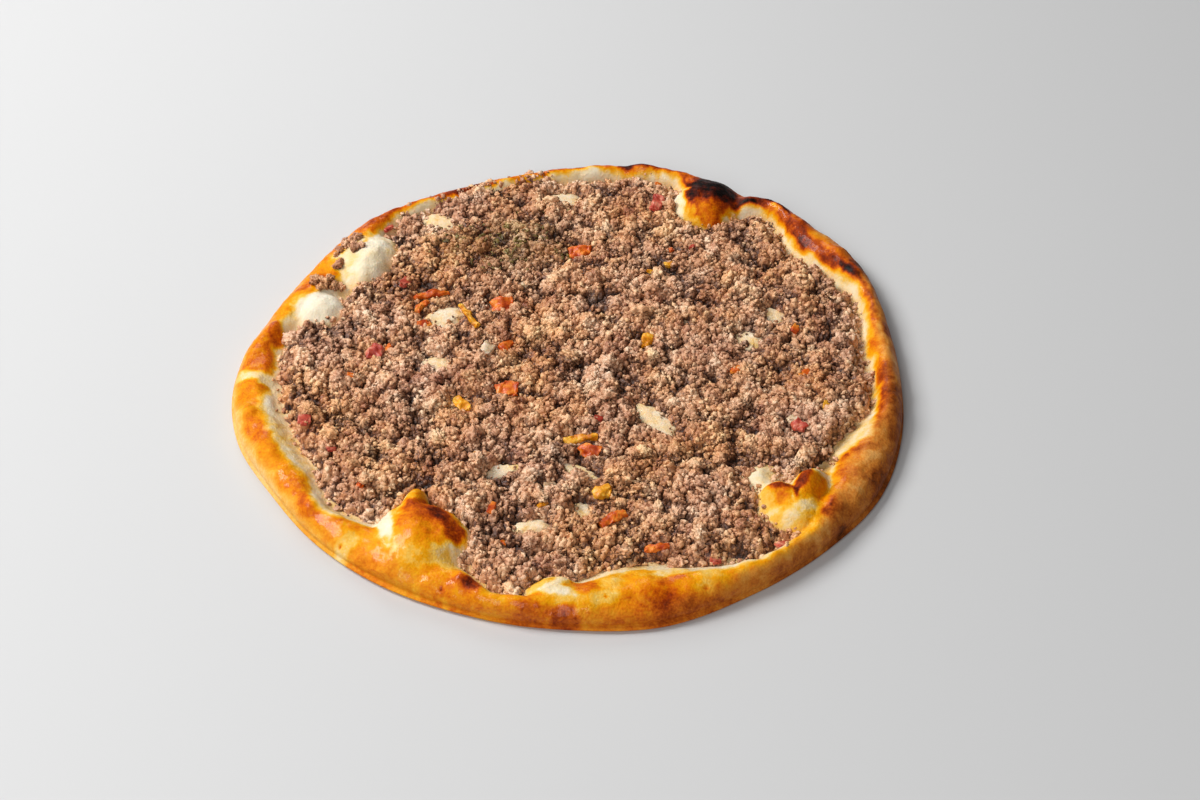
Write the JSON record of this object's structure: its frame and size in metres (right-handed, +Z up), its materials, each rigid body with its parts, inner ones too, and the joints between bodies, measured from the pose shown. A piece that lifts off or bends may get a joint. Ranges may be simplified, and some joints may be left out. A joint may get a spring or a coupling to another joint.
{
  "type": "open meat pie",
  "caption": "Open round meat pie: a thin flatbread with a golden, blistered rim, spread with cooked minced meat and bits of pepper, tomato and onion.",
  "frame": {"origin": "centre of the flat underside, midway across the outline", "axes": "+Z up out of the mince, +X to the right and +Y away from a viewer at the picture's place"},
  "size_m": [0.2838, 0.2852, 0.0178],
  "materials": {
    "bread": "baked dough, golden and half glossy on the rim, pale beside the mince, burnt on the blisters",
    "mince": "cooked minced meat in moist crumbs, pinkish grey brown with dark crevices",
    "pepper": "cooked red and orange pepper, moist",
    "yellow_pepper": "cooked yellow pepper, moist",
    "tomato": "cooked tomato, moist, crimson to pink",
    "onion": "cooked onion, moist and whitish"
  },
  "bodies": {
    "root": {"bread": "bread", "minced_meat": "mince", "stray_mince_back": "mince", "stray_mince_left": "mince", "onion_dice": "onion", "pepper_back_flake": "pepper", "pepper_brown_flake": "pepper", "pepper_front_flake": "pepper", "pepper_front_strip": "yellow_pepper", "pepper_golden_dice": "yellow_pepper", "pepper_red_strip": "pepper", "pepper_rim_strip": "pepper", "pepper_small_orange": "pepper", "pepper_square": "pepper", "pepper_strip_long": "pepper", "pepper_strip_short": "pepper", "pepper_strip_upright": "yellow_pepper", "pepper_yellow_dice": "yellow_pepper", "pepper_yellow_flake": "yellow_pepper", "tomato_back": "tomato", "tomato_left": "tomato", "tomato_right": "tomato"}
  },
  "joints": []
}
